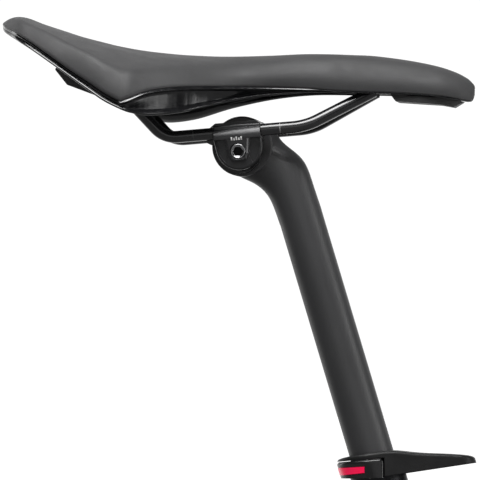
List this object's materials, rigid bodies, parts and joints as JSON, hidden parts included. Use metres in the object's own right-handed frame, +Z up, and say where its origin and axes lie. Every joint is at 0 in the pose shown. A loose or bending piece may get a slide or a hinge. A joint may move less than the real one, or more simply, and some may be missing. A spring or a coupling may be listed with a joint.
{
  "type": "suspension seatpost",
  "caption": "Telescopic suspension seatpost with a layback head and rail clamp holding a saddle, and a collar cover with a tail light at its foot.",
  "frame": {"origin": "on the post's axis, at the top of the length that the bicycle's seat tube clamps", "axes": "+X forward (towards the saddle's nose), +Y left, +Z up; the post's axis leans back 16.7 degrees from +Z"},
  "size_m": [0.2822, 0.1444, 0.4357],
  "materials": {
    "post_satin_black": "satin black paint over drawn aluminium tube and forged head",
    "tube_anodised": "black hard-anodised aluminium, fine turned marks",
    "gland_anodised": "black anodised aluminium",
    "seal_rubber": "matte black nitrile rubber",
    "bearing_polymer": "dark filled bearing polymer",
    "bumper_elastomer": "translucent-looking cast elastomer",
    "spring_steel": "shot-peened spring steel",
    "key_brass": "machined brass",
    "inner_aluminium": "turned aluminium",
    "clamp_black": "semi-gloss black anodised forging",
    "bolt_steel": "dark plated alloy steel",
    "washer_steel": "plated steel",
    "cover_synthetic": "matte fine-grained synthetic cover",
    "foam_padding": "closed-cell foam",
    "shell_gloss": "glossy black moulded nylon with fibre",
    "rail_black": "gloss black coated steel rod",
    "bridge_plastic": "moulded black nylon",
    "bumper_plastic": "scuff-resistant matte black plastic",
    "collar_matte": "soft matte black moulded cover",
    "housing_gloss": "gloss black lamp housing",
    "lens_red": "translucent red lens",
    "board_green": "green circuit board",
    "led_red": "red light-emitting chips"
  },
  "bodies": {
    "lower_post": {"outer_tube": "tube_anodised", "gland_nut": "gland_anodised", "wiper_seal": "seal_rubber", "upper_bushing": "bearing_polymer", "topout_ring": "bumper_elastomer", "main_spring": "spring_steel"},
    "upper_post": {"post_tube": "post_satin_black", "slider_bush": "bearing_polymer", "guide_keys": "key_brass", "spring_seat": "inner_aluminium", "elastomer_core": "bumper_elastomer"},
    "saddle_clamp": {"cradle_left": "clamp_black", "cradle_right": "clamp_black", "cheek_left": "clamp_black", "cheek_right": "clamp_black", "clamp_nut": "bolt_steel", "clamp_washers": "washer_steel"},
    "clamp_bolt_body": {"clamp_bolt": "bolt_steel"},
    "saddle": {"saddle_cover": "cover_synthetic", "saddle_foam": "foam_padding", "saddle_shell": "shell_gloss", "rail_left": "rail_black", "rail_right": "rail_black", "rear_bridge": "bridge_plastic", "nose_socket": "bridge_plastic", "nose_bumper": "bumper_plastic"},
    "seat_collar": {"collar_cover": "collar_matte", "light_housing": "housing_gloss", "light_lens": "lens_red", "light_board": "board_green", "light_leds": "led_red", "light_screws": "bolt_steel"},
    "spring_foot": {"guide_rod": "inner_aluminium"},
    "preload_screw": {"preload_plug": "inner_aluminium"}
  },
  "joints": [
    {"name": "suspension_travel", "type": "slide", "parent": "lower_post", "child": "upper_post", "axis": [-0.2874, 0, 0.9578], "range_m": [-0.04, 0], "stiffness_N_per_m": 15000, "springref_m": 0.01, "deforming": ["main_spring"]},
    {"name": "saddle_tilt", "type": "hinge", "parent": "upper_post", "child": "saddle_clamp", "pos_m": [-0.08112, 0, 0.19522], "axis": [0, 1, 0], "range_deg": [-12, 12]},
    {"name": "clamp_bolt_turn", "type": "hinge", "parent": "saddle_clamp", "child": "clamp_bolt_body", "pos_m": [-0.08112, 0, 0.19522], "axis": [0, 1, 0], "continuous": true},
    {"name": "saddle_slide", "type": "slide", "parent": "saddle_clamp", "child": "saddle", "axis": [0.9968, 0, 0.0802], "range_m": [-0.008, 0.016]},
    {"name": "collar_slide", "type": "slide", "parent": "lower_post", "child": "seat_collar", "axis": [-0.2874, 0, 0.9578], "range_m": [0, 0.05]},
    {"name": "preload_rise", "type": "slide", "parent": "lower_post", "child": "spring_foot", "axis": [-0.2874, 0, 0.9578], "range_m": [0, 0.006]},
    {"name": "preload_turn", "type": "hinge", "parent": "spring_foot", "child": "preload_screw", "pos_m": [0.04052, 0, -0.13505], "axis": [-0.2874, 0, 0.9578], "range_deg": [0, 1440]}
  ],
  "couplings": [
    {"joint": "preload_turn", "follows": "preload_rise", "rad_per_m": 4188.8}
  ]
}
